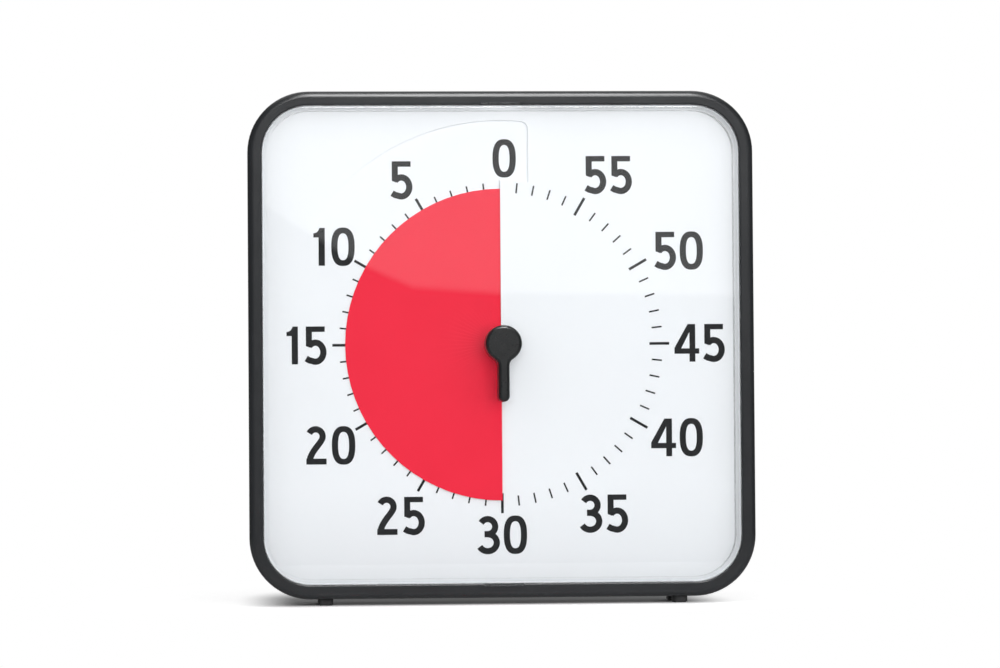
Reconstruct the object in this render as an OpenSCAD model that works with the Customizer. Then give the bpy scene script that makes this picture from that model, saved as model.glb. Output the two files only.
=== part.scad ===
// Visual countdown timer: a square frame with a clear window, a slotted white dial, and a red
// disk that winds out of the slit when the pointer knob is turned.
//
// World: X right, Y back, Z up, with the origin under the middle of the case. Inside
// face_frame() everything is drawn as seen from the front: x right, y up, and z is minus the
// depth behind the bezel's front. Names that end in _d are such depths. Lengths are in mm.

/* [Case] */
// Width and height of the square front housing
body_w = 190; // [187:0.5:196]
// Corner radius of the front housing
corner_r = 23; // [22:0.25:25]
// Width of the frame in front of the dial
bezel_w = 5.3; // [4.9:0.1:5.8]
// Rounding of the frame's outer front edge
bezel_round = 2.3; // [1.6:0.1:2.6]
// Rounding of the frame's edge at the window
lip_round = 0.5; // [0.3:0.1:0.8]
// Wall of the front housing behind the dial
housing_wall = 2.5; // [2.3:0.1:2.8]
// Width of the ledge that the dial lies on
ledge_w = 4; // [3.6:0.1:4.4]
// Thickness of that ledge
ledge_t = 2; // [1.8:0.1:2.4]
// Step in from the front housing to the rear cover
cover_inset = 1.75; // [1.6:0.05:1.9]
// Side wall of the rear cover
cover_wall = 2.2; // [2:0.1:2.4]
// Flat back of the rear cover
rear_wall = 2; // [1.9:0.1:2.4]
// Rounding of the rear cover's back edge
rear_round = 5; // [4:0.25:6]
// Height of the tongue where the shells meet
tongue_h = 1.5; // [1:0.1:2]
// How far the front housing laps the chassis plate
seam_lap = 0.5; // [0.3:0.1:0.8]
// Clearance where two static pieces slip together
fit = 0.15; // [0.1:0.01:0.2]

/* [Screws] */
// Radius of the rear cover's screw posts
post_r = 4.5; // [4.3:0.1:4.7]
// Radius of the front housing's screw bosses
boss_r = 3.8; // [3.4:0.1:4]
// Radius of the case screws
screw_r = 1.45; // [1.3:0.05:1.6]
// Radius of their heads
screw_head_r = 2.8; // [2.5:0.1:2.9]
// Height of their heads
screw_head_h = 1.8; // [1.5:0.1:2.2]
// Floor that the screw heads press on
post_floor = 2; // [1.6:0.1:2.6]
// Length of thread in the boss
screw_grip = 5; // [4:0.25:5.5]
// Radius of the alarm board's screws
board_screw_r = 0.9; // [0.8:0.05:1]

/* [Feet] */
// Height that the feet stand below the front housing
foot_h = 2.4; // [1.8:0.1:3]
// Width of a foot
foot_w = 5.4; // [4.6:0.2:7]
// Length of a foot, front to back
foot_len = 10; // [8:0.5:11]
// Distance between the feet
foot_spacing = 133; // [124:0.5:138]
// Depth of the recess that holds a foot
foot_recess = 0.6; // [0.4:0.1:0.8]

/* [Window] */
// Lens front behind the bezel's front
lens_setback = 1; // [0.8:0.1:1.4]
// Thickness of the lens
lens_t = 1.6; // [1.4:0.1:2]
// Thickness of the skirt behind its edge
lens_skirt = 1.8; // [1.6:0.1:2.2]
// Rounding of its front edge
lens_round = 0.8; // [0.5:0.1:1]
// Clear height over the disk at 60 minutes
lens_gap = 1.5; // [1.2:0.1:2]
// Play between the skirt and the dial
lens_seat = 0.06; // [0.02:0.02:0.1]
// Width of the notches for the lens tabs
notch_w = 15; // [12:0.5:18]
// Depth of those notches in the frame
notch_h = 0.8; // [0.6:0.1:1]

/* [Dial] */
// Thickness of the dial
dial_t = 0.8; // [0.7:0.05:1]
// Clearance of the disk in the slit, on each side
slit_gap = 0.3; // [0.25:0.01:0.4]
// Thickness left outside the sunk ramp's rim
recess_rim = 0.8; // [0.6:0.1:1]
// Width of the pocket to the right of the slit
pocket_w = 10.6; // [8:0.2:12]
// Corner radius of that pocket
pocket_round = 3; // [2:0.25:4]
// Angle at which the ramp's outer rim runs out
rim_run_out = 75; // [68:1:80]

/* [Numerals and ticks] */
// Width of the band between the ticks and the lens's skirt, at its narrowest
label_w = 24.25; // [24:0.05:25.5]
// Height of the numerals
numeral_h = 14.2; // [13:0.1:14.4]
// How far out the numerals stand in that band
numeral_in = 11.1; // [10.8:0.1:11.6]
// Thickness of a curved stroke, as a share of the numeral's height
stroke_w = 0.165; // [0.13:0.005:0.18]
// Thickness of the print
ink_t = 0.1; // [0.06:0.01:0.14]
// How far the minute ticks reach past the disk
minute_reach = 2.3; // [2:0.1:2.6]
// Width of a minute tick
minute_w = 0.6; // [0.4:0.05:0.8]
// Length of a minute tick
minute_len = 3.8; // [3:0.1:4.4]
// How far the five-minute ticks reach past the disk
five_reach = 4.8; // [4.5:0.1:5]
// Width of a five-minute tick
five_w = 1; // [0.8:0.05:1.2]
// Length of a five-minute tick
five_len = 7.5; // [6.5:0.1:7.6]

/* [Disk] */
// Thickness of the red disk
disk_t = 0.3; // [0.2:0.02:0.4]
// Climb of the disk over one full turn
disk_pitch = 5; // [4.5:0.1:5.5]
// Radius of the disk's hub
hub_r = 4.8; // [4.4:0.1:5.2]
// Clearance of the hub in the dial's hole
hub_clear = 0.3; // [0.25:0.05:0.5]
// Clearance left at each end of the hub's travel
hub_gap = 0.2; // [0.15:0.05:0.3]

/* [Knob] */
// How far the knob stands out in front of the bezel
knob_reach = 9; // [7:0.25:11]
// Radius of the knob's round head
knob_r = 6.8; // [6.2:0.1:7.2]
// Width of the knob's pointer arm
arm_w = 4.2; // [3.6:0.1:5]
// Distance from the spindle to the tip of the arm
arm_len = 21.8; // [18:0.5:25]
// Radius of the fillets between head and arm
waist_r = 3; // [2:0.25:4]
// Width of the rounding that leads to the knob's front face
knob_bevel = 1.1; // [0.7:0.1:1.3]
// Gap between the knob and the lens
knob_gap = 0.6; // [0.4:0.1:0.9]
// Radius of the collar that passes through the lens
collar_r = 4; // [3.6:0.1:4.3]

/* [Spindle and chassis] */
// Radius of the spindle
spindle_r = 2; // [1.8:0.05:2.2]
// Depth of the flat on the spindle
flat_cut = 0.5; // [0.4:0.05:0.6]
// Radius of the spindle's rear pivot
pivot_r = 1; // [0.8:0.05:1.2]
// Radial running clearance of shafts in bores
running = 0.04; // [0.03:0.01:0.06]
// Outer radius of the threaded bush
bush_r = 4; // [3.8:0.1:4.3]
// Radius of the bush's flange
flange_r = 6; // [5.5:0.1:6.5]
// Thickness of the bush nut
nut_t = 2.5; // [2:0.1:3]
// Radius of the bush nut over its corners
nut_r = 6.8; // [6.2:0.1:7.4]
// Thickness of the chassis plate
chassis_t = 2; // [1.8:0.1:2.4]
// Width of the chassis plate's arms
chassis_arm = 14; // [12:0.25:15]
// Radius of the chassis plate's middle
chassis_r = 24; // [23:0.25:26]

/* [Movement] */
// Width and height of the movement
movement_w = 56; // [55:0.25:57]
// Depth of the movement
movement_depth = 14; // [13.9:0.05:14.6]
// Wall of the movement's case
movement_wall = 1.5; // [1.4:0.05:1.6]
// Gap between the movement and the rear cover
movement_gap = 0.5; // [0.3:0.1:1]
// Module of the centre wheel and its pinion
wheel_module = 0.4; // [0.39:0.005:0.41]
// Module of the intermediate wheel and the rotor's pinion
second_module = 0.35; // [0.34:0.005:0.355]
// Teeth of the centre wheel
wheel_teeth = 64; // [62:1:66]
// Teeth of the intermediate wheel
second_teeth = 60; // [58:1:61]
// Leaves of both pinions
leaves = 8; // [7:1:9]
// Thickness of the wheels
gear_t = 1.2; // [1:0.05:1.3]
// Radius of the intermediate wheel's arbor
arbor_r = 0.6; // [0.5:0.05:0.7]
// Radius of the rotor magnet
magnet_r = 3.2; // [2.8:0.1:3.4]
// Height of the rotor magnet
magnet_h = 2.6; // [2.2:0.1:2.8]
// Radius of the alarm cam
cam_r = 5.5; // [5:0.1:6]
// Outer radius of the coil winding
coil_r = 3.7; // [3.4:0.05:3.8]
// Length of the coil winding
coil_len = 24; // [22:0.25:25]

/* [Battery bay] */
// Radius of the battery
battery_r = 7.1; // [7:0.05:7.25]
// Length of the battery over its nub
battery_len = 50.5; // [49.5:0.1:50.5]
// Play round the battery in its bay
battery_play = 0.3; // [0.25:0.05:0.5]
// Wall of the battery bay
bay_wall = 1.5; // [1.3:0.05:1.6]
// Length of the pressed battery spring
spring_len = 3.7; // [3.2:0.1:4.2]
// Wire radius of that spring
spring_wire = 0.35; // [0.3:0.05:0.45]
// Thickness of the contact plates
contact_t = 0.4; // [0.3:0.05:0.5]
// Width of the contact plates
contact_w = 11; // [10:0.5:12]
// Distance from the movement to the battery bay
lead_channel = 13; // [12.5:0.25:14]
// How far the door laps the bay at its ends
door_lap_x = 2.5; // [2:0.1:3]
// How far the door laps the bay at top and bottom
door_lap_y = 3.6; // [3:0.1:4]
// Gap round the door
door_gap = 0.3; // [0.2:0.05:0.4]
// Radius of the door's hinge pins
door_pin_r = 0.6; // [0.5:0.05:0.65]

/* [Alarm] */
// Radius of the buzzer
buzzer_r = 15; // [14:0.25:16]
// Depth of the buzzer
buzzer_h = 8; // [7:0.25:9]
// Distance from the movement to the buzzer
buzzer_side = 15; // [13:0.25:17]
// Width of the slots in front of the buzzer
grille_w = 1.6; // [1.4:0.1:2]
// Radius of the volume dial
volume_r = 9; // [8:0.1:9.5]
// Thickness of the volume dial
volume_t = 2.5; // [2.2:0.1:2.8]
// Width of the alarm board
board_w = 36; // [34:0.5:38]
// Height of the alarm board
board_h = 30; // [28:0.5:32]
// Thickness of both circuit boards
board_t = 1.2; // [1:0.1:1.4]
// Distance from the movement to the alarm board
board_side = 12; // [11:0.25:13]
// Radius of the insulated leads
lead_r = 0.6; // [0.5:0.05:0.7]

/* [Keyhole] */
// Radius of the keyhole's round entry
keyhole_r = 4.5; // [4:0.1:5]
// Radius of the keyhole's slot
keyslot_r = 2.2; // [2:0.05:2.4]
// Height of the entry above the spindle
keyhole_y = 58; // [56:0.5:62]
// Rise of the slot above the entry
keyhole_rise = 8; // [7:0.25:9]

/* [Hidden] */
$fn = 64;

// --- Depths, from the front to the back ---
lens_back_d = lens_setback + lens_t;
disk_drop = disk_t + dial_t + slit_gap;
recess_depth = disk_drop + slit_gap;
dial_d = lens_back_d + lens_gap + disk_t + disk_pitch - disk_drop;
dial_back_d = dial_d + dial_t;
ledge_back_d = dial_back_d + ledge_t;
hub_front_d = dial_d + disk_drop - disk_pitch / 2 - disk_t;
hub_back_d = dial_d + disk_drop + disk_pitch / 2;
collar_back_d = hub_front_d - disk_pitch / 2 - hub_gap;
bush_front_d = hub_back_d + disk_pitch / 2 + hub_gap;
bush_proud = 0.4;
chassis_d = bush_front_d + bush_proud + nut_t;
chassis_back_d = chassis_d + chassis_t;
seam_d = chassis_d + seam_lap;
movement_back_d = chassis_back_d + movement_depth;
rear_inner_d = movement_back_d + movement_gap;
case_depth = rear_inner_d + rear_wall;

// --- World placing ---
front_y = (knob_reach - case_depth) / 2;
axis_z = foot_h + body_w / 2;

// --- Case plan: every outline's corner is centred at corner_at ---
corner_at = body_w / 2 - corner_r;
window_r = corner_r - bezel_w;
window_half = corner_at + window_r;
ledge_r = window_r - ledge_w;
housing_inner_r = corner_r - housing_wall;
cover_r = corner_r - cover_inset;
cover_inner_r = cover_r - cover_wall;
lens_r = window_r - fit;
dial_r = window_r - 2 * fit;
ear_r = post_r + 0.5;
ear_clear = 1.2;
post_at = corner_at + (cover_inner_r - ear_r - ear_clear) / sqrt(2);
gusset_r = boss_r + 2.2;
screw_clear = 0.2;
pilot_clear = 0.05;
screw_tip_room = 0.5;

// --- Dial ---
five_outer_r = window_half - fit - lens_skirt - label_w;
disk_r = five_outer_r - five_reach;
minute_outer_r = disk_r + minute_reach;
numeral_ring = five_outer_r + numeral_in;
recess_r = corner_at + ledge_r - recess_rim - 0.4;
recess_slope = disk_pitch / 360;
ramp_end = recess_depth / recess_slope;
ramp_inner_r = disk_r + 1.3;
pocket_r = disk_r + 3.3;
hub_hole_r = hub_r + hub_clear;
minutes = 60;

// --- Drive ---
bore_r = spindle_r + running;
spindle_front_d = -knob_reach + 4;
nut_front_d = bush_front_d + bush_proud;
washer_t = 0.8;
washer_r = 9;
bush_boss_h = 0.6;
boss_back_d = chassis_back_d + movement_wall + bush_boss_h;
flange_back_d = boss_back_d + 0.7;
wheel_d = flange_back_d + 0.3;
wheel_back_d = wheel_d + gear_t;
wheel_hub_back_d = wheel_back_d + 0.5;
clutch_t = 0.5;
cam_collar_d = wheel_hub_back_d + clutch_t;
second_d = cam_collar_d + 0.2;
second_t = 0.9;
cam_d = second_d + second_t + 0.6;
cam_t = 2;
first_centres = wheel_module * (wheel_teeth + leaves) / 2;
second_centres = second_module * (second_teeth + leaves) / 2;
rotor_at = [second_centres, -first_centres];
movement_half = movement_w / 2;
movement_inner = movement_half - movement_wall;
front_case_depth = 6.5;
movement_seam_d = chassis_back_d + front_case_depth;
movement_inner_back_d = movement_back_d - movement_wall;
pivot_floor = 0.5;
arbor_front_d = chassis_back_d + pivot_floor;
arbor_back_d = movement_back_d - pivot_floor;
spindle_shoulder_d = movement_inner_back_d - 1.6;
coil_flange = 8;
coil_x = movement_inner - coil_flange / 2 - 0.5;
coil_d = movement_inner_back_d - coil_flange / 2;
nub_r = 1.5;
nub_at = 20;
shell_r = 3;
pivot_boss_r = 3.2;
arbor_boss_r = 1.8;
peg_r = 1.5;
core_peg_at = [coil_x - 4, -first_centres - 4.4];
lead_notch_y = [3, 9];
lead_notch_d = 2.2;
pinion_arbor_r = arbor_r - 0.1;
stator_t = 0.8;
core_w = 3;
flange_t = 1;
magnet_d = coil_d - magnet_h / 2;
inner_board_w = 16.5;
inner_board_h = 44;
inner_board_x = [0.5 - movement_inner, 0.5 - movement_inner + inner_board_w];
inner_peg_at = [inner_board_x[0] + 7.5, 18];
inner_peg_h = 1.5;
inner_board_back_d = movement_inner_back_d - inner_peg_h;
inner_board_d = inner_board_back_d - board_t;
leaf_t = 0.2;

// --- Battery bay ---
bay_len = battery_len + spring_len + 2 * contact_t;
bay_h = 2 * (battery_r + battery_play);
bay_y = -(movement_half + lead_channel + bay_wall + bay_h / 2);
bay_d = rear_inner_d - bay_h;
battery_d = bay_d + battery_play + battery_r;
tab_out = bay_len / 2 + bay_wall + 1.3;
tab_w = 3;
door_w = bay_len + 2 * door_lap_x;
door_h = bay_h + 2 * door_lap_y;
door_play = 0.1;
door_t = rear_wall - 2 * door_play;
door_pin_d = rear_inner_d + door_play + door_t / 2;
door_pin_y = bay_y - door_h / 2 + door_t / 2;
door_pin_len = 1.5;
rim_w = 2;
rim_t = 1.5;

// --- Alarm ---
buzzer_x = movement_half + buzzer_side + buzzer_r;
buzzer_d = rear_inner_d - buzzer_h;
buzzer_shell = 1.2;
volume_x = -(movement_half + board_side + board_w / 2);
volume_gap = 0.4;
volume_back_d = case_depth - volume_gap;
volume_d = volume_back_d - volume_t;
pot_w = 10;
pot_h = 4.2;
pot_d = volume_d - volume_gap - pot_h;
alarm_board_d = pot_d - board_t;
board_screw_at = [board_w / 2 - 3.5, board_h / 2 - 3.5];
board_head_h = 1.2;
board_screw_grip = 5;

// --- Routes of the leads: x, y and depth, chosen by hand ---
RED_ROUTE = [[-30.5, -50, 27], [-34, -50, 26.5], [-40, -45, 25], [-47, -32, 23], [-54, -20, 22.5],
    [-58, -14, 23.2], [-59, -12, 25], [-59, -12, 27.2]];
BLACK_ROUTE = [[30.5, -50, 27], [34, -49, 26.5], [35, -43, 25], [30, -36, 24], [20, -34.5, 24],
    [0, -34.5, 24], [-20, -34.5, 24], [-34, -31, 23.5], [-46, -21, 22.5], [-52, -14, 23.2],
    [-53, -12, 25], [-53, -12, 27.2]];
BUZZER_ROUTE = [[-45, 10, 27.2], [-45, 10, 25], [-44, 13, 23.5], [-38, 24, 23], [-26, 33, 23],
    [0, 36, 23], [26, 33, 23], [40, 23, 22.5], [49, 12, 22.5], [52, 7, 23.8], [52, 6, 25.7]];
MOVEMENT_ROUTE = [[-43, 2, 27.2], [-43, 2, 25.5], [-41, 3, 24], [-36, 4, 24], [-32, 5, 26],
    [-29.5, 5, 27], [-26, 5, 27], [-24, 5, 27.2], [-23, 5, 29]];
lead_pitch = 1.8;

// --- Numerals: nudges off the ring in numeral heights, in the order 0, 5, 10, set by eye ---
NUDGES = [[0.12, -0.31], [0.01, -0.18], [0.14, -0.02], [0.1, 0], [0.02, -0.02], [-0.06, 0.03],
    [-0.01, 0.21], [0.07, 0.05], [0.11, 0.13], [0.03, 0.01], [0.19, -0.16], [0.25, -0.06]];

// ---------- Small tools ----------

function polar(r, a) = [r * cos(a), r * sin(a)];
function arc(c, r, a0, a1, n) = [for (i = [0:n]) c + polar(r, a0 + (a1 - a0) * i / n)];
function oval(c, rx, ry, a0, a1, n) =
    [for (i = [0:n]) let (a = a0 + (a1 - a0) * i / n) c + [rx * cos(a), ry * sin(a)]];
function reverse(list) = [for (i = [len(list) - 1:-1:0]) list[i]];
function unit(v) = v / norm(v);
function left_of(v) = [-v[1], v[0]];
function to_z(points) = [for (p = points) [p[0], -p[1]]];

// Corner points of a rectangle with rounded corners
function round_rect(w, h, r, n = 6) = concat(
    arc([w / 2 - r, h / 2 - r], r, 0, 90, n), arc([r - w / 2, h / 2 - r], r, 90, 180, n),
    arc([r - w / 2, r - h / 2], r, 180, 270, n), arc([w / 2 - r, r - h / 2], r, 270, 360, n));

// Points of a cubic curve
function cubic(a, b, c, d, n) = [for (i = [0:n]) let (t = i / n, s = 1 - t)
    a * s * s * s + b * 3 * s * s * t + c * 3 * s * t * t + d * t * t * t];

// A path's parallel at a distance, mitred at its points
function parallel(p, w) = let (last = len(p) - 1) [for (i = [0:last]) let (
    into = left_of(unit(p[max(i, 1)] - p[max(i, 1) - 1])),
    out = left_of(unit(p[min(i + 1, last)] - p[min(i + 1, last) - 1])),
    mid = unit(into + out)) p[i] + mid * w / (mid * into)];
function stroke(p, w) = concat(parallel(p, w / 2), reverse(parallel(p, -w / 2)));

// Smooth points through a hand-set route (Catmull-Rom)
function smooth_route(p, n) = let (last = len(p) - 1) [for (i = [0:last * n]) let (
    k = min(floor(i / n), last - 1), t = i / n - k,
    a = p[max(k - 1, 0)], b = p[k], c = p[k + 1], d = p[min(k + 2, last)])
    (b * 2 + (c - a) * t + (a * 2 - b * 5 + c * 4 - d) * t * t
        + (b * 3 - a - c * 3 + d) * t * t * t) / 2];

module face_frame() translate([0, front_y, axis_z]) rotate([90, 0, 0]) children();

// A plan extruded between two depths
module slab(from_d, to_d) translate([0, 0, -to_d]) linear_extrude(to_d - from_d) children();

module rod(r, from_d, to_d, at = [0, 0]) translate([at[0], at[1], -to_d]) cylinder(r = r, h = to_d - from_d);

module ring(outer, inner, from_d, to_d, at = [0, 0]) difference() {
    rod(outer, from_d, to_d, at);
    rod(inner, from_d - 1, to_d + 1, at);
}

// A block given by its lowest and highest x, y and depth
module block(x, y, d) translate([x[0], y[0], -d[1]]) cube([x[1] - x[0], y[1] - y[0], d[1] - d[0]]);

// A section (x out from the corner's centre, y minus depth) swept round the case
module round_case() for (i = [0:3]) rotate(90 * i) {
    translate([corner_at, corner_at, 0]) rotate_extrude(angle = 90) children();
    translate([corner_at, corner_at, 0]) rotate([90, 0, 0]) linear_extrude(2 * corner_at) children();
}

// A slab with the case's rounded corners, r out from their centres
module case_slab(r, from_d, to_d) {
    slab(from_d, to_d) square(2 * [corner_at + r, corner_at], center = true);
    slab(from_d, to_d) square(2 * [corner_at, corner_at + r], center = true);
    for (i = [0:3]) rotate(90 * i) translate([corner_at, corner_at, -to_d])
        rotate_extrude(angle = 90) square([r, to_d - from_d]);
}

module at_posts() for (sx = [-1, 1], sy = [-1, 1]) translate([sx * post_at, sy * post_at, 0]) children();

// A closed solid between two grids of points; rows run anticlockwise, columns outward
module skin_solid(top, bottom) {
    ni = len(top);
    nj = len(top[0]);
    b = ni * nj;
    li = ni - 1;
    lj = nj - 1;
    function at(i, j) = i * nj + j;
    polyhedron(points = concat([for (row = top, p = row) p], [for (row = bottom, p = row) p]),
        faces = concat(
            [for (i = [0:ni - 2], j = [0:nj - 2]) [at(i, j), at(i + 1, j), at(i + 1, j + 1)]],
            [for (i = [0:ni - 2], j = [0:nj - 2]) [at(i, j), at(i + 1, j + 1), at(i, j + 1)]],
            [for (i = [0:ni - 2], j = [0:nj - 2]) [b + at(i, j), b + at(i + 1, j + 1), b + at(i + 1, j)]],
            [for (i = [0:ni - 2], j = [0:nj - 2]) [b + at(i, j), b + at(i, j + 1), b + at(i + 1, j + 1)]],
            [for (i = [0:ni - 2]) [b + at(i, 0), b + at(i + 1, 0), at(i + 1, 0), at(i, 0)]],
            [for (i = [0:ni - 2]) [b + at(i, lj), at(i, lj), at(i + 1, lj), b + at(i + 1, lj)]],
            [for (j = [0:nj - 2]) [b + at(0, j), at(0, j), at(0, j + 1), b + at(0, j + 1)]],
            [for (j = [0:nj - 2]) [b + at(li, j), b + at(li, j + 1), at(li, j + 1), at(li, j)]]));
}

// A round wire swept along points, with flat ends
// Directions square to a path, each carried on from the last so that the wire doesn't twist
function carried(tangents, i = 0, before = [0.31, 0.87, 0.38]) = let (t = tangents[i],
    u = unit(before - (before * t) * t))
    i == len(tangents) - 1 ? [u] : concat([u], carried(tangents, i + 1, u));

module wire(path, r, sides = 8) {
    last = len(path) - 1;
    tangents = [for (i = [0:last]) unit(path[min(i + 1, last)] - path[max(i - 1, 0)])];
    firsts = carried(tangents);
    rings = [for (i = [0:last], k = [0:sides - 1]) let (a = 360 * k / sides)
        path[i] + r * (cos(a) * firsts[i] + sin(a) * cross(tangents[i], firsts[i]))];
    polyhedron(points = rings, faces = concat([[for (k = [0:sides - 1]) k]],
        [[for (k = [sides - 1:-1:0]) last * sides + k]],
        [for (i = [0:last - 1], k = [0:sides - 1]) let (n = (k + 1) % sides)
            [i * sides + k, (i + 1) * sides + k, (i + 1) * sides + n]],
        [for (i = [0:last - 1], k = [0:sides - 1]) let (n = (k + 1) % sides)
            [i * sides + k, (i + 1) * sides + n, i * sides + n]]));
}

module lead(route) wire([for (p = smooth_route(route, 4)) [p[0], p[1], -p[2]]], lead_r);

// A route beside another, for the second lead of a pair
function beside(route, gap) = let (last = len(route) - 1) [for (i = [0:last]) let (
    here = route[i], raw = route[min(i + 1, last)] - route[max(i - 1, 0)],
    flat = norm([raw[0], raw[1]]) > 0.5 ? raw : route[2] - route[0],
    side = left_of(unit([flat[0], flat[1]]))) [here[0] + gap * side[0], here[1] + gap * side[1], here[2]]];
module lead_pair(route) {
    lead(route);
    lead(beside(route, lead_pitch));
}

// ---------- Case ----------

module front_housing() color("#45484b") face_frame() difference() {
    union() {
        round_case() polygon(to_z(concat(
            arc([window_r + lip_round, lip_round], lip_round, 180, 270, 4),
            arc([corner_r - bezel_round, bezel_round], bezel_round, 270, 360, 8),
            [[corner_r, seam_d], [housing_inner_r, seam_d], [housing_inner_r, ledge_back_d],
            [ledge_r, ledge_back_d], [ledge_r, dial_back_d], [window_r, dial_back_d]])));
        at_posts() {
            rod(gusset_r, dial_back_d, ledge_back_d);
            rod(boss_r, ledge_back_d - 0.5, chassis_d);
        }
    }
    at_posts() rod(screw_r + pilot_clear, chassis_d - screw_grip - screw_tip_room, chassis_d + 1);
    for (side = [-1, 1]) translate([0, side * window_half, 0])
        block([-notch_w / 2, notch_w / 2], [-notch_h, notch_h], [-1, dial_back_d]);
    foot_pockets(front_foot_d);
}

module rear_cover() color("#3f4245") face_frame() difference() {
    union() {
        round_case() polygon(to_z(concat(
            [[cover_inner_r, seam_d - tongue_h], [housing_inner_r - fit, seam_d - tongue_h],
            [housing_inner_r - fit, seam_d], [cover_r, seam_d]],
            arc([cover_r - rear_round, case_depth - rear_round], rear_round, 0, 90, 8),
            [[cover_inner_r - rear_round - 1, case_depth], [cover_inner_r - rear_round - 1, rear_inner_d]],
            oval([cover_r - rear_round, case_depth - rear_round], rear_round - cover_wall,
                rear_round - rear_wall, 90, 0, 6))));
        case_slab(cover_inner_r - rear_round, rear_inner_d, case_depth);
        at_posts() rod(post_r, chassis_back_d, rear_inner_d + 0.5);
        slab(bay_d - bay_wall, rear_inner_d + 0.5) translate([0, bay_y])
            square([bay_len + 2 * bay_wall, bay_h + 2 * bay_wall], center = true);
        slab(rear_inner_d - rim_t, rear_inner_d + 0.5) translate([0, bay_y])
            square([door_w + 2 * rim_w, door_h + 2 * rim_w], center = true);
        keyhole_pocket(1.5, rear_inner_d - 6);
        rod(buzzer_r + 0.3 + 1.5, rear_inner_d - 6, rear_inner_d + 0.5, [buzzer_x, 0]);
        rod(volume_r + volume_gap + 1.2, rear_inner_d - 2, rear_inner_d + 0.5, [volume_x, 0]);
        for (s = [-1, 1]) rod(2.4, alarm_board_d + board_t, rear_inner_d + 0.5,
            [volume_x + s * board_screw_at[0], -s * board_screw_at[1]]);
    }
    at_posts() {
        rod(screw_r + screw_clear, chassis_back_d - 1, case_depth);
        rod(screw_head_r + 0.4, chassis_back_d + post_floor, case_depth + 1);
    }
    slab(bay_d, rear_inner_d + 1) translate([0, bay_y]) square([bay_len, bay_h], center = true);
    slab(rear_inner_d, case_depth + 1) translate([0, bay_y])
        square([door_w + 2 * door_gap, door_h + 2 * door_gap], center = true);
    for (s = [-1, 1]) translate([s * (bay_len + bay_wall) / 2, bay_y, -battery_d])
        cube([bay_wall + 2, tab_w + 2 * fit, contact_t + 2 * fit], center = true);
    translate([0, door_pin_y, -door_pin_d]) rotate([0, 90, 0])
        cylinder(r = door_pin_r + running, h = door_w + 2 * (door_pin_len + 0.3), center = true);
    rod(5, case_depth - 1, case_depth + 1, [0, bay_y + door_h / 2 + 1]);
    keyhole_pocket(0, rear_inner_d - 4.5);
    rod(keyhole_r, rear_inner_d - 1, case_depth + 1, [0, keyhole_y]);
    rod(keyslot_r, rear_inner_d - 1, case_depth + 1, [0, keyhole_y + keyhole_rise]);
    block([-keyslot_r, keyslot_r], [keyhole_y, keyhole_y + keyhole_rise], [rear_inner_d - 1, case_depth + 1]);
    rod(buzzer_r + 0.3, buzzer_d - 1, rear_inner_d, [buzzer_x, 0]);
    for (i = [-2:2]) translate([buzzer_x, i * 2.5 * grille_w, 0])
        block(buzzer_r * [-0.6, 0.6], grille_w * [-0.5, 0.5], [rear_inner_d - 1, case_depth + 1]);
    rod(volume_r + volume_gap, rear_inner_d - 3, case_depth + 1, [volume_x, 0]);
    for (s = [-1, 1]) rod(board_screw_r + pilot_clear, alarm_board_d, rear_inner_d - 0.5,
        [volume_x + s * board_screw_at[0], -s * board_screw_at[1]]);
    foot_pockets(rear_foot_d, cover_inset);
}

// The walls round the keyhole, or with no wall the room inside them
module keyhole_pocket(wall, from_d) slab(from_d, rear_inner_d + (wall > 0 ? 0.5 : 0.01))
    translate([0, keyhole_y + keyhole_rise / 2])
        square([2 * keyhole_r + 4 + 2 * wall, keyhole_rise + 2 * keyhole_r + 3 + 2 * wall], center = true);

module clear_lens() color("#dfe9ee", 0.35) face_frame() difference() {
    union() {
        round_case() polygon(to_z(concat(
            [[lens_r - 6, lens_back_d], [lens_r - 6, lens_setback]],
            arc([lens_r - lens_round, lens_setback + lens_round], lens_round, 270, 360, 5),
            [[lens_r, dial_d - lens_seat], [lens_r - lens_skirt, dial_d - lens_seat],
            [lens_r - lens_skirt, lens_back_d]])));
        case_slab(lens_r - 5, lens_setback, lens_back_d);
        for (side = [-1, 1]) translate([0, side * window_half, 0]) block(
            [fit - notch_w / 2, notch_w / 2 - fit], [fit - notch_h, notch_h - fit],
            [lens_setback + lens_round, lens_setback + 5]);
    }
    rod(collar_r + 0.6, lens_setback - 1, lens_back_d + 1);
}

// ---------- Dial ----------

// The sunk ramp falls from the flat dial to its deepest line at the slit, which stands at 12
// o'clock. Its level lines are rows: row 0 lies along the slit and the last row is the crease
// where the ramp meets the flat dial. Angles are anticlockwise past 12 o'clock.
ramp_rows = 28;
ramp_radii = concat([hub_r / 2, ramp_inner_r],
    [for (i = [1:4]) ramp_inner_r + (recess_r - ramp_inner_r) * i / 4]);
function ramp_end_at(r) = let (t = max(0, (r - ramp_inner_r) / (recess_r - ramp_inner_r)))
    1 / ((1 - t) / ramp_end + t / rim_run_out);
function dial_point(r, a, z) = [-r * sin(a), r * cos(a), z];
function ramp_grid(rise) = [for (i = [0:ramp_rows]) let (s = i / ramp_rows)
    [for (r = ramp_radii) dial_point(r, s * ramp_end_at(r), rise - recess_depth * (1 - s))]];
function rim_points(r) = [for (i = [0:ramp_rows]) let (a = rim_run_out * i / ramp_rows)
    [-r * sin(a), r * cos(a)]];

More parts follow.
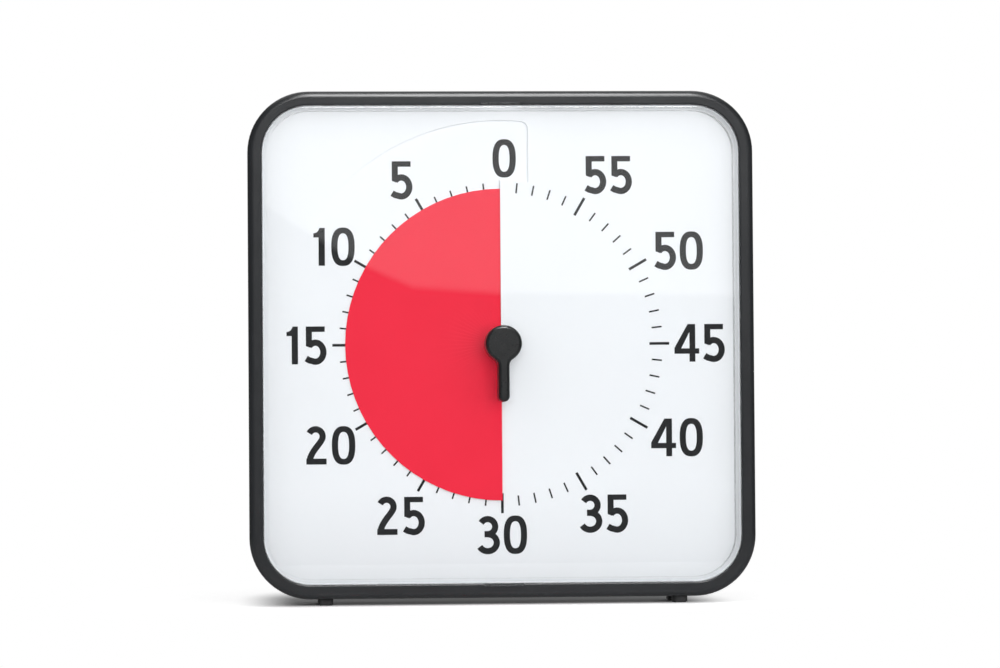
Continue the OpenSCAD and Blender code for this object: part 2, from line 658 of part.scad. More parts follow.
// The outline of the pocket at the right of the slit, between two radii and out to a width
function pocket_points(inner, outer, w, round) = let (
    top = sqrt(outer * outer - w * w), lowest = asin(w / inner),
    centre = [w - round, sqrt((outer - round) * (outer - round) - (w - round) * (w - round))],
    turn = atan2(centre[1], centre[0]))
    concat([for (i = [0:4]) inner * [sin(lowest * i / 4), cos(lowest * i / 4)]],
        round > 0 ? arc(centre, round, 0, turn, 6) : [[w, top]],
        [for (i = [3:-1:0]) let (a = (round > 0 ? 90 - turn : asin(w / outer)) * i / 4)
            outer * [sin(a), cos(a)]]);

// What the flat sheet leaves out: the pocket, the ramp's plan and the slit
module recess_plan() polygon(concat([[0, 0]],
    pocket_points(pocket_r, recess_r, pocket_w, pocket_round),
    [for (i = [1:ramp_rows]) rim_points(recess_r)[i]],
    [for (i = [len(ramp_radii) - 2:-1:0]) let (r = ramp_radii[i], a = ramp_end_at(r))
        [-r * sin(a), r * cos(a)]]));

module pocket_floor() polygon(pocket_points(pocket_r - recess_rim, recess_r + recess_rim,
    pocket_w + recess_rim, 0));

// The dial in its own frame: z is zero on its front and grows towards the viewer
module dial_body() difference() {
    union() {
        difference() {
            translate([0, 0, dial_d]) case_slab(dial_r, dial_d, dial_back_d);
            translate([0, 0, -dial_t - 1]) linear_extrude(dial_t + 2) recess_plan();
        }
        skin_solid(ramp_grid(0), ramp_grid(-dial_t));
        translate([0, 0, -recess_depth - dial_t]) {
            linear_extrude(recess_depth + dial_t / 2)
                polygon(concat(rim_points(recess_r), reverse(rim_points(recess_r + recess_rim))));
            linear_extrude(dial_t) pocket_floor();
            linear_extrude(recess_depth + dial_t / 2) difference() {
                pocket_floor();
                polygon(concat([[-1, pocket_r]], pocket_points(pocket_r, recess_r, pocket_w, pocket_round),
                    [[-1, recess_r]]));
            }
        }
    }
    translate([0, 0, -5]) cylinder(r = hub_hole_r, h = 10);
}

module dial_plate() color("#f4f6f8") face_frame() translate([0, 0, -dial_d]) dial_body();

// Digits one unit high, their left edge at x = 0
DIGIT_W = [0.62, 0.3, 0.535, 0.6, 0.66, 0.585];
module digit(n) {
    if (n == 0) difference() {
        polygon(superellipse([0.31, 0.5], 0.31, 0.51));
        polygon(superellipse([0.31, 0.5], 0.31 - stroke_w, 0.51 - 0.93 * stroke_w));
    }
    if (n == 1) polygon(concat([[0.3 - stroke_w, 0], [0.3, 0], [0.3, 1], [0.16, 1]],
        cubic([0.16, 1], [0.13, 0.9], [0.08, 0.86], [0, 0.86], 5), [[0, 0.75], [0.3 - stroke_w, 0.75]]));
    if (n == 2) {
        polygon(stroke(concat(oval([0.25, 0.745], 0.185, 0.185, 155, -20, 14),
            cubic([0.418, 0.667], [0.35, 0.513], [0.06, 0.29], [stroke_w / 2, 0], 9)), stroke_w));
        square([0.535, 0.155]);
    }
    if (n == 3) {
        polygon(stroke(concat(oval([0.275, 0.72], 0.2, 0.2, 150, -90, 16), [[0.19, 0.52]]), stroke_w));
        polygon(stroke(concat([[0.19, 0.52]], oval([0.275, 0.295], 0.24, 0.225, 90, -152, 18)), stroke_w));
    }
    if (n == 4) polygon(points = [[0.354, 1], [0.556, 1], [0.556, 0.354], [0.66, 0.354], [0.66, 0.213],
        [0.556, 0.213], [0.556, 0], [0.4, 0], [0.4, 0.213], [0, 0.213], [0, 0.37],
        [0.4, 0.354], [0.4, 0.79], [0.18, 0.354]],
        paths = [[10, 9, 8, 7, 6, 5, 4, 3, 2, 1, 0], [11, 12, 13]]);
    if (n == 5) {
        polygon([[0.04, 1], [0.54, 1], [0.54, 0.857], [0.2, 0.857], [0.2, 0.5], [0.155, 0.435],
            [0.1, 0.46], [0.04, 0.48]]);
        polygon(stroke(concat([[0.13, 0.49]], oval([0.29, 0.32], 0.212, 0.2525, 118, -112, 18),
            [[0.13, 0.105], [0.045, 0.155]]), stroke_w));
    }
}
function superellipse(c, a, b, power = 2.5, n = 36) = [for (i = [0:n - 1]) let (t = 360 * i / n)
    c + [a * sign(cos(t)) * pow(abs(cos(t)), 2 / power), b * sign(sin(t)) * pow(abs(sin(t)), 2 / power)]];
function gap_after(n) = n == 1 ? 0.17 : n == 2 ? 0.14 : 0.1;

// A number of one or two digits, centred
module number(value) {
    tens = floor(value / 10);
    ones = value % 10;
    lead_w = tens > 0 ? DIGIT_W[tens] + gap_after(tens) : 0;
    total = lead_w + DIGIT_W[ones];
    scale(numeral_h) translate([-total / 2, -0.5, 0]) {
        if (tens > 0) digit(tens);
        translate([lead_w, 0, 0]) digit(ones);
    }
}

module numerals(first, last, h = 2 * recess_depth) for (i = [first:last]) {
    at = numeral_ring * [-sin(30 * i), cos(30 * i)] + numeral_h * NUDGES[i];
    translate([at[0], at[1], 0]) linear_extrude(h) number(5 * i);
}

module ticks(first, last, h = 2 * recess_depth) for (i = [first:last]) {
    five = i % 5 == 0;
    len = five ? five_len : minute_len;
    w = five ? five_w : minute_w;
    outer = five ? five_outer_r : minute_outer_r;
    rotate(360 * i / minutes) translate([-w / 2, outer - len, 0]) cube([w, len, h]);
}

// Numerals up to RAMP_NUMERALS and ticks up to RAMP_TICKS lie on the sunk ramp, at least partly
RAMP_NUMERALS = 3;
RAMP_TICKS = 20;
module ramp_marks() {
    numerals(0, RAMP_NUMERALS);
    ticks(1, RAMP_TICKS);
}
module dial_markings() color("#26292b") face_frame() translate([0, 0, -dial_d]) {
    intersection() {
        translate([0, 0, -recess_depth - ink_t]) ramp_marks();
        skin_solid(ramp_grid(ink_t), ramp_grid(0));
    }
    intersection() {
        translate([0, 0, -recess_depth - ink_t]) numerals(0, 0);
        translate([0, 0, -recess_depth]) linear_extrude(ink_t)
            polygon(pocket_points(pocket_r, recess_r, pocket_w, pocket_round));
    }
    difference() {
        intersection() {
            translate([0, 0, -recess_depth]) ramp_marks();
            translate([0, 0, ink_t / 2]) cube([body_w, body_w, ink_t], center = true);
        }
        translate([0, 0, -1]) linear_extrude(2) recess_plan();
    }
    numerals(RAMP_NUMERALS + 1, 11, ink_t);
    ticks(RAMP_TICKS + 1, minutes - 1, ink_t);
}

// ---------- Disk and knob ----------

// Height of the disk's back over the dial's front, at an angle past 12 o'clock
function disk_back(a) = disk_pitch * a / 360 - disk_drop;

module red_disk() color("#e8323f") face_frame() translate([0, 0, -dial_d]) {
    radii = [hub_r + 0.02, (hub_r + disk_r) / 2, disk_r];
    angles = [-180:5:180];
    skin_solid([for (a = angles) [for (r = radii) [-r * sin(a), r * cos(a), disk_back(a) + disk_t]]],
        [for (a = angles) [for (r = radii) [-r * sin(a), r * cos(a), disk_back(a)]]]);
}

// The spindle's outline with its flat, grown by a clearance
module flatted_rod(clear, from_d, to_d) difference() {
    rod(spindle_r + clear, from_d, to_d);
    block([spindle_r - flat_cut + clear, spindle_r + 2], (spindle_r + 2) * [-1, 1], [from_d - 1, to_d + 1]);
}

module disk_hub() color("#e9e9e6") face_frame() difference() {
    rod(hub_r, hub_front_d, hub_back_d);
    flatted_rod(running, hub_front_d - 1, hub_back_d + 1);
}

// The knob's outline, drawn in by an inset: head, waist fillets and the arm that points down
function knob_outline(inset) = let (r = knob_r - inset, a = arm_w / 2 - inset, f = waist_r + inset,
    tip = arm_len - arm_w / 2, drop = sqrt((r + f) * (r + f) - (a + f) * (a + f)),
    turn = atan2(drop, a + f))
    concat(arc([0, 0], r, -turn, 180 + turn, 40),
        [for (i = [1:6]) [-a - f, -drop] + polar(f, turn - turn * i / 6)],
        arc([0, -tip], a, 180, 360, 12),
        [for (i = [0:5]) [a + f, -drop] + polar(f, 180 - turn * i / 6)]);

// The edge leaves the wall square to the front and meets the front face at a shallow angle
edge_turn = 65;
module pointer_knob() color("#2b2e2f") face_frame() difference() {
    union() {
        prism_stack(concat([[lens_setback - knob_gap, 0]], [for (i = [0:5]) let (a = edge_turn * i / 5)
            [-knob_reach + 1.1 * knob_bevel * (1 - sin(a) / sin(edge_turn)),
                knob_bevel * (1 - cos(a)) / (1 - cos(edge_turn))]]));
        rod(collar_r, lens_setback - knob_gap - 1, collar_back_d);
    }
    flatted_rod(running, spindle_front_d - 0.2, collar_back_d + 1);
}

// An outline of n points closed in strips across it, from its highest point to its lowest
function strips(top, n) = [for (k = [0:n / 2 - 1]) let (left = (top + k) % n, right = (top - k + n) % n,
    next_left = (left + 1) % n, next_right = (right - 1 + n) % n)
    k == 0 ? [left, next_left, next_right]
        : next_left == next_right ? [left, next_left, right] : [left, next_left, next_right, right]];

// Knob outlines joined at given depths and insets
module prism_stack(levels) {
    outlines = [for (l = levels) [for (p = knob_outline(l[1])) [p[0], p[1], -l[0]]]];
    n = len(outlines[0]);
    last = len(levels) - 1;
    ends = strips(20, n);
    polyhedron(points = [for (o = outlines, p = o) p], faces = concat(ends,
        [for (f = ends) [for (k = reverse(f)) last * n + k]],
        [for (i = [0:last - 1], k = [0:n - 1]) let (m = (k + 1) % n)
            [i * n + k, (i + 1) * n + k, (i + 1) * n + m]],
        [for (i = [0:last - 1], k = [0:n - 1]) let (m = (k + 1) % n)
            [i * n + k, (i + 1) * n + m, i * n + m]]));
}

module spindle() color("#b8bcc0") face_frame() {
    flatted_rod(0, spindle_front_d, bush_front_d - 0.1);
    rod(spindle_r, bush_front_d - 0.1, spindle_shoulder_d);
    rod(pivot_r, spindle_shoulder_d, arbor_back_d);
}

// ---------- Bush and chassis ----------

module threaded_bush() color("#b9974e") face_frame() difference() {
    union() {
        rod(bush_r, bush_front_d, boss_back_d + 0.1);
        rod(flange_r, boss_back_d, flange_back_d);
    }
    rod(bore_r, bush_front_d - 1, flange_back_d + 1);
}

module bush_nut() color("#b9974e") face_frame() difference() {
    translate([0, 0, -chassis_d]) cylinder(r = nut_r, h = nut_t, $fn = 6);
    rod(bush_r + running, nut_front_d - 1, chassis_d + 1);
}

module rubber_washer() color("#222222") face_frame()
    ring(washer_r, bush_r + 0.2, chassis_back_d, chassis_back_d + washer_t);

module chassis_plate() color("#d7d8d6") face_frame() difference() {
    union() {
        for (a = [45, 135]) slab(chassis_d, chassis_back_d) rotate(a)
            square([2 * sqrt(2) * post_at, chassis_arm], center = true);
        rod(chassis_r, chassis_d, chassis_back_d);
        at_posts() rod(ear_r, chassis_d, chassis_back_d);
    }
    at_posts() rod(screw_r + screw_clear, chassis_d - 1, chassis_back_d + 1);
    rod(bush_r + 0.1, chassis_d - 1, chassis_back_d + 1);
    for (s = [-1, 1]) rod(nub_r + 0.1, chassis_d - 1, chassis_back_d + 1, [0, s * nub_at]);
    for (a = [45:90:315], r = [0.35, 0.6, 0.8])
        rod(chassis_arm / 4, chassis_d - 1, chassis_back_d + 1, sqrt(2) * post_at * r * [cos(a), sin(a)]);
}

// A driven screw: pan head with a cross recess, its shank pointing forward
module pan_screw(r, head_r, head_h, from_d, seat_d) difference() {
    union() {
        rod(r, from_d, seat_d + 0.1);
        rod(head_r, seat_d, seat_d + head_h);
    }
    for (a = [0, 90]) rotate(a) block([-0.7 * head_r, 0.7 * head_r], [-0.14 * head_r, 0.14 * head_r],
        [seat_d + 0.4 * head_h, seat_d + head_h + 1]);
}

module case_screws() color("#9a9da0") face_frame() at_posts() pan_screw(screw_r, screw_head_r, screw_head_h,
    chassis_d - screw_grip, chassis_back_d + post_floor);

// ---------- Feet ----------

front_foot_d = bezel_round + 0.7;
rear_foot_d = case_depth - rear_round - 0.5 - foot_len;

// Recesses for two feet in the bottom of a shell that is set in from the front housing
module foot_pockets(from_d, inset = 0) for (s = [-1, 1])
    translate([s * foot_spacing / 2, inset + foot_recess - body_w / 2, -from_d - foot_len / 2])
        rotate([90, 0, 0]) linear_extrude(foot_recess + 1)
            polygon(round_rect(foot_w + 2 * fit, foot_len + 2 * fit, 1.5));

// Two rubber feet that reach from their recesses down to the ground
module feet(from_d, inset = 0) for (s = [-1, 1])
    translate([s * foot_spacing / 2, inset + foot_recess - body_w / 2, -from_d - foot_len / 2])
        rotate([90, 0, 0]) {
            linear_extrude(foot_recess + inset + foot_h - 0.4) polygon(round_rect(foot_w, foot_len, 1.4));
            linear_extrude(foot_recess + inset + foot_h) polygon(round_rect(foot_w - 0.8, foot_len - 0.8, 1));
        }

module front_feet() color("#1f2021") face_frame() feet(front_foot_d);
module rear_feet() color("#1f2021") face_frame() feet(rear_foot_d, cover_inset);

// ---------- Movement ----------

module movement_shell(from_d, to_d, open_from, open_to) difference() {
    slab(from_d, to_d) polygon(round_rect(movement_w, movement_w, shell_r));
    slab(open_from, open_to) square(2 * movement_inner, center = true);
}

module movement_front_case() color("#5a6066") face_frame() difference() {
    union() {
        movement_shell(chassis_back_d, movement_seam_d, chassis_back_d + movement_wall, movement_seam_d + 1);
        rod(washer_r - 1, chassis_back_d + 1, boss_back_d);
        for (s = [-1, 1]) rod(nub_r, chassis_d + 0.3, chassis_back_d + 0.1, [0, s * nub_at]);
        for (p = [[0, -first_centres], rotor_at])
            rod(arbor_boss_r, chassis_back_d + 1, chassis_back_d + movement_wall + 1, p);
    }
    rod(washer_r + fit, chassis_back_d - 1, chassis_back_d + washer_t);
    rod(bush_r + 0.02, chassis_back_d - 1, boss_back_d + 1);
    rod(arbor_r + running, arbor_front_d - 0.1, movement_seam_d, [0, -first_centres]);
    rod(pinion_arbor_r + running, arbor_front_d - 0.1, movement_seam_d, rotor_at);
}

module movement_rear_case() color("#5a6066") face_frame() difference() {
    union() {
        movement_shell(movement_seam_d, movement_back_d, movement_seam_d - 1, movement_inner_back_d);
        rod(pivot_boss_r, spindle_shoulder_d + 0.3, movement_back_d - 1);
        for (p = [[0, -first_centres], rotor_at])
            rod(arbor_boss_r, movement_inner_back_d - 1, movement_back_d - 1, p);
        rod(peg_r, coil_d + stator_t / 2, movement_back_d - 1, core_peg_at);
        for (s = [-1, 1]) rod(peg_r, inner_board_back_d, movement_back_d - 1,
            [inner_peg_at[0], s * inner_peg_at[1]]);
    }
    rod(pivot_r + running, spindle_shoulder_d - 1, arbor_back_d + 0.1);
    rod(arbor_r + running, movement_seam_d, arbor_back_d + 0.1, [0, -first_centres]);
    rod(pinion_arbor_r + running, movement_seam_d, arbor_back_d + 0.1, rotor_at);
    block([-movement_half - 1, 1 - movement_inner], lead_notch_y,
        [movement_seam_d - 1, movement_seam_d + lead_notch_d]);
}

// An involute gear plan, one tooth centred on the x axis
pressure = 30;
backlash = 0.04;
function gear_points(m, teeth) = let (
    r = m * teeth / 2, base = r * cos(pressure), tip = r + 0.9 * m, root = r - 1.2 * m,
    start = max(base, root + 0.02), half = 90 / teeth - backlash / r * 90 / PI + involute(pressure),
    radii = concat([root], [for (i = [0:3]) start + (tip - start) * i / 3]),
    sides = [for (q = radii) half - involute(acos(min(1, base / q)))])
    [for (k = [0:teeth - 1]) let (mid = 360 * k / teeth) each concat(
        [for (i = [0:4]) polar(radii[i], mid - sides[i])],
        [for (i = [4:-1:0]) polar(radii[i], mid + sides[i])])];
function involute(a) = tan(a) * 180 / PI - a;

module center_wheel() color("#e8e2cf") face_frame() difference() {
    union() {
        slab(wheel_d, wheel_back_d) rotate(180 / wheel_teeth - 90)
            polygon(gear_points(wheel_module, wheel_teeth));
        rod(3.2, wheel_d, wheel_hub_back_d);
    }
    rod(bore_r, wheel_d - 1, wheel_hub_back_d + 1);
    for (a = [30:60:330]) rod(2.2, wheel_d - 1, wheel_back_d + 1, polar(7.6, a));
}

module clutch_spring() color("#c9ccd0") face_frame() difference() {
    ring(spindle_r + 2.2, spindle_r + 0.1, wheel_hub_back_d, cam_collar_d);
    for (a = [0, 120, 240]) rod(0.8, wheel_hub_back_d - 1, cam_collar_d + 1, polar(spindle_r + 1.9, a));
}

module alarm_cam() color("#f0efe9") face_frame() difference() {
    union() {
        rod(spindle_r + 1, cam_collar_d, cam_d + 0.1);
        rod(cam_r, cam_d, cam_d + cam_t);
    }
    rod(spindle_r + 0.01, cam_collar_d - 1, cam_d + cam_t + 1);
    rod(1, cam_d - 1, cam_d + cam_t + 1, [cam_r + 0.2, 0]);
}

module intermediate_wheel() color("#e8e2cf") face_frame() translate([0, -first_centres, 0]) {
    slab(wheel_d - 0.1, wheel_back_d + 0.3) rotate(90) polygon(gear_points(wheel_module, leaves));
    rod(1.1, wheel_back_d + 0.2, second_d + 0.1);
    slab(second_d, second_d + second_t) polygon(gear_points(second_module, second_teeth));
    rod(arbor_r, arbor_front_d, arbor_back_d);
}

module rotor_pinion() color("#f0efe9") face_frame() translate([rotor_at[0], rotor_at[1], 0]) {
    slab(second_d - 0.3, second_d + second_t + 0.3) rotate(180 + 180 / leaves)
        polygon(gear_points(second_module, leaves));
    rod(1.1, second_d + second_t + 0.2, magnet_d);
    rod(pinion_arbor_r, arbor_front_d, arbor_back_d);
}

module rotor_magnet() color("#55585c") face_frame()
    ring(magnet_r, pinion_arbor_r + 0.01, magnet_d, magnet_d + magnet_h, rotor_at);

module stator() color("#a9adb1") face_frame() slab(coil_d - stator_t / 2, coil_d + stator_t / 2)
    translate(rotor_at) difference() {
        across = coil_x + core_w / 2 - rotor_at[0];
        top = coil_len / 2 + 5 - rotor_at[1];
        union() {
            circle(r = magnet_r + 2.4);
            translate([0, -5.2]) square([across, 4]);
            square([core_w, top]);
            translate([0, top - 3]) square([across, 3]);
            translate([across - core_w, -5.2]) square([core_w, top + 5.2]);
        }
        circle(r = magnet_r + 0.5);
    }

// Parts on the coil's own axis, which runs up and down
module on_coil_axis() translate([coil_x, 0, -coil_d]) rotate([90, 0, 0]) children();

module coil_bobbin() color("#2f6d4f") face_frame() on_coil_axis() difference() {
    union() {
        cylinder(r = 2.4, h = coil_len + 0.2, center = true);
        for (s = [-1, 1]) translate([0, 0, s * (coil_len + flange_t) / 2])
            cube([coil_flange, coil_flange, flange_t], center = true);
    }
    cube([core_w + 2 * fit, stator_t + 2 * fit, coil_len + 10], center = true);
}

module coil_winding() color("#b5652f") face_frame() on_coil_axis() difference() {
    cylinder(r = coil_r, h = coil_len, center = true);
    cylinder(r = 2.42, h = coil_len + 1, center = true);
}

module circuit_board() color("#2f7a4b") face_frame() difference() {
    block(inner_board_x, inner_board_h * [-0.5, 0.5], [inner_board_d, inner_board_back_d]);
    for (s = [-1, 1]) rod(0.8, inner_board_d - 1, inner_board_back_d + 1,
        [inner_peg_at[0], s * inner_peg_at[1]]);
}

crystal_r = 1;
module quartz_crystal() color("#c9ccd0") face_frame()
    translate([inner_board_x[0] + 4, -6, -inner_board_d + crystal_r + 0.02]) rotate([90, 0, 0])
        cylinder(r = crystal_r, h = 6);

module control_chip() color("#1e1f20") face_frame()
    translate([inner_board_x[0] + 8.5, -2, -inner_board_d]) linear_extrude(1.2)
        polygon(round_rect(6, 6, 0.3, 2));

module contact_leaf() color("#d0a64c") face_frame() {
    block([-cam_r - 0.2 - leaf_t, -cam_r - 0.2], [-3, 12], [cam_d + 0.2, cam_d + cam_t - 0.2]);
    block([inner_board_x[1] - 2.5, -cam_r - 0.2], [12, 12 + leaf_t], [cam_d + 0.2, inner_board_d]);
}

// ---------- Battery ----------

module along_bay(x) translate([x, bay_y, -battery_d]) rotate([0, 90, 0]) children();

module battery() color("#4c5156") face_frame() along_bay(contact_t - bay_len / 2) {
    translate([0, 0, 1]) cylinder(r = battery_r, h = battery_len - 1);
    cylinder(r = 2.75, h = 1.1);
}

module battery_spring() color("#c9ccd0") face_frame() {
    start = contact_t - bay_len / 2 + battery_len + spring_wire;
    run = spring_len - 2 * spring_wire;
    turns = 3.5;
    steps = 14;
    wire([for (i = [0:turns * steps]) let (t = i / (turns * steps), r = 3 + 2 * t, a = 360 * turns * t)
        [start + run * t, bay_y + r * cos(a), r * sin(a) - battery_d]], spring_wire, 6);
}

module battery_contacts() color("#c9ccd0") face_frame() translate([0, bay_y, 0]) for (s = [-1, 1]) {
    inner = bay_len / 2 - contact_t;
    xs = s > 0 ? [inner, bay_len / 2] : [-bay_len / 2, -inner];
    tab = s > 0 ? [inner, tab_out] : [-tab_out, -inner];
    block(xs, contact_w * [-0.5, 0.5], [battery_d - contact_w / 2, battery_d + contact_w / 2]);
    block(tab, [-tab_w / 2, tab_w / 2], [battery_d - contact_t / 2, battery_d + contact_t / 2]);
}

module battery_door() color("#3f4245") face_frame() difference() {
    union() {
        block([-door_w / 2, door_w / 2], [door_pin_y, bay_y + door_h / 2],
            [door_pin_d - door_t / 2, door_pin_d + door_t / 2]);
        translate([0, door_pin_y, -door_pin_d]) rotate([0, 90, 0]) {
            cylinder(r = door_t / 2, h = door_w, center = true);
            cylinder(r = door_pin_r, h = door_w + 2 * door_pin_len, center = true);
        }
    }
    for (i = [0:2]) translate([0, bay_y + door_h / 2 - 4 - 1.6 * i, 0])
        block([-7 + i, 7 - i], [-0.4, 0.4], [case_depth - door_play - 0.5, case_depth + 1]);
}

// ---------- Alarm ----------

module buzzer_case() color("#1d1e1f") face_frame() difference() {
    rod(buzzer_r, buzzer_d, rear_inner_d, [buzzer_x, 0]);
    rod(buzzer_r - buzzer_shell, buzzer_d + buzzer_shell, rear_inner_d - 3.5, [buzzer_x, 0]);
    rod(buzzer_r - 2 * buzzer_shell, buzzer_d + buzzer_shell, rear_inner_d - buzzer_shell, [buzzer_x, 0]);
    rod(2.5, buzzer_d + buzzer_shell, rear_inner_d + 1, [buzzer_x, 0]);
}

module buzzer_disc() color("#c7a14a") face_frame()
    rod(buzzer_r - buzzer_shell - fit, rear_inner_d - 4, rear_inner_d - 3.5, [buzzer_x, 0]);

// The volume dial: a scalloped wheel on a stem, with a pointer groove in its face
module volume_dial() color("#26282a") face_frame() translate([volume_x, 0, 0]) difference() {
    union() {
        slab(volume_d, volume_back_d) polygon([for (i = [0:71]) polar(volume_r - 0.3 * (i % 2), 5 * i)]);
        rod(1.5, pot_d + 1, volume_d + 0.1);
    }
    block([-0.5, 0.5], [2, volume_r + 1], [volume_back_d - 0.6, volume_back_d + 1]);
    ring(volume_r - 1.2, volume_r - 2, volume_back_d - 0.3, volume_back_d + 1);
}

module volume_pot() color("#3a5f8a") face_frame() translate([volume_x, 0, 0]) difference() {
    slab(pot_d, pot_d + pot_h) polygon(round_rect(pot_w, pot_w, 0.6, 3));
    rod(1.5 + running, pot_d + 0.8, pot_d + pot_h + 1);
}

module alarm_board() color("#2f7a4b") face_frame() translate([volume_x, 0, 0]) difference() {
    slab(alarm_board_d, alarm_board_d + board_t) polygon(round_rect(board_w, board_h, 1.5, 4));
    for (s = [-1, 1]) rod(board_screw_r + screw_clear, alarm_board_d - 1, alarm_board_d + board_t + 1,
        [s * board_screw_at[0], -s * board_screw_at[1]]);
}

module alarm_chip() color("#1e1f20") face_frame() translate([volume_x, 2, -alarm_board_d])
    linear_extrude(1.5) polygon(round_rect(8, 6, 0.3, 2));

module board_screws() color("#9a9da0") face_frame() for (s = [-1, 1])
    translate([volume_x + s * board_screw_at[0], -s * board_screw_at[1], 0]) mirror([0, 0, 1])
        translate([0, 0, alarm_board_d * 2]) pan_screw(board_screw_r, 2 * board_screw_r, board_head_h,
            alarm_board_d - board_screw_grip, alarm_board_d);

// ---------- Leads ----------

module red_battery_lead() color("#c22b2b") face_frame() lead(RED_ROUTE);
module black_battery_lead() color("#1e1f20") face_frame() lead(BLACK_ROUTE);
module buzzer_leads() color("#d8b13a") face_frame() lead_pair(BUZZER_ROUTE);
module movement_leads() color("#7a7d80") face_frame() lead_pair(MOVEMENT_ROUTE);

front_housing();
rear_cover();
clear_lens();
dial_plate();
dial_markings();
red_disk();
disk_hub();
pointer_knob();
spindle();
threaded_bush();
bush_nut();
rubber_washer();
chassis_plate();
case_screws();
front_feet();
rear_feet();
movement_front_case();
movement_rear_case();
center_wheel();
clutch_spring();
intermediate_wheel();
rotor_pinion();
rotor_magnet();
stator();
coil_bobbin();
coil_winding();
circuit_board();
quartz_crystal();
control_chip();
alarm_cam();
contact_leaf();
battery();
battery_spring();
battery_contacts();
battery_door();
buzzer_case();
buzzer_disc();
volume_dial();
volume_pot();
alarm_board();
alarm_chip();
board_screws();
red_battery_lead();
black_battery_lead();
buzzer_leads();
movement_leads();
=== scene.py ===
import math

import bpy
from mathutils import Matrix, Vector

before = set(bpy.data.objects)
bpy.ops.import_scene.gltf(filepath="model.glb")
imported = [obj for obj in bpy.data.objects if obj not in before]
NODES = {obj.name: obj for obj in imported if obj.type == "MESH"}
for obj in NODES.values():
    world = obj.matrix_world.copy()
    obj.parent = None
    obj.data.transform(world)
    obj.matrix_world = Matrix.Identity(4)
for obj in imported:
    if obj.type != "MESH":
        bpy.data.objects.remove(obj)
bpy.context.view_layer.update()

MM = 0.001
NOISE_LOW, NOISE_HIGH = 0.35, 0.65  # most of a noise texture's values lie between these
BAND_PITCH = math.pi / 10  # the distance between a wave texture's bands at scale 1, in metres
MIX_FIRST, MIX_SECOND, MIX_RESULT = 6, 7, 2  # the colour sockets of a mix node


# ---------------------------------------------------------------- node helpers


class Tree:
    """A node tree, emptied, with short calls for the nodes that the looks and the room are made of."""

    def __init__(self, tree):
        self.nodes = tree.nodes
        self.links = tree.links
        self.nodes.clear()

    def node(self, kind, **props):
        made = self.nodes.new(kind)
        for key, value in props.items():
            setattr(made, key, value)
        return made

    def feed(self, value, socket):
        """Give a socket a plain number, or link another node's output to it."""
        if isinstance(value, (int, float)):
            socket.default_value = value
        else:
            self.links.new(value, socket)

    def math(self, op, *values):
        made = self.node("ShaderNodeMath", operation=op)
        for i, value in enumerate(values):
            self.feed(value, made.inputs[i])
        return made.outputs[0]

    def fit(self, value, start, end, low, high, smooth=False):
        """Low where value is start or less, high where it is end or more, and a slope between."""
        made = self.node("ShaderNodeMapRange", interpolation_type="SMOOTHSTEP" if smooth else "LINEAR")
        self.feed(value, made.inputs["Value"])
        for key, number in (("From Min", start), ("From Max", end), ("To Min", low), ("To Max", high)):
            made.inputs[key].default_value = number
        return made.outputs[0]

    def part_of(self, vector, which):
        """One of a vector's X, Y and Z."""
        made = self.node("ShaderNodeSeparateXYZ")
        self.feed(vector, made.inputs[0])
        return made.outputs["XYZ".index(which)]

    def emission(self, strength):
        made = self.node("ShaderNodeEmission")
        self.feed(strength, made.inputs["Strength"])
        return made.outputs[0]

    def choose(self, which, first, second):
        """The first shader where which is 0, the second where it is 1."""
        made = self.node("ShaderNodeMixShader")
        for i, value in enumerate((which, first, second)):
            self.feed(value, made.inputs[i])
        return made.outputs[0]


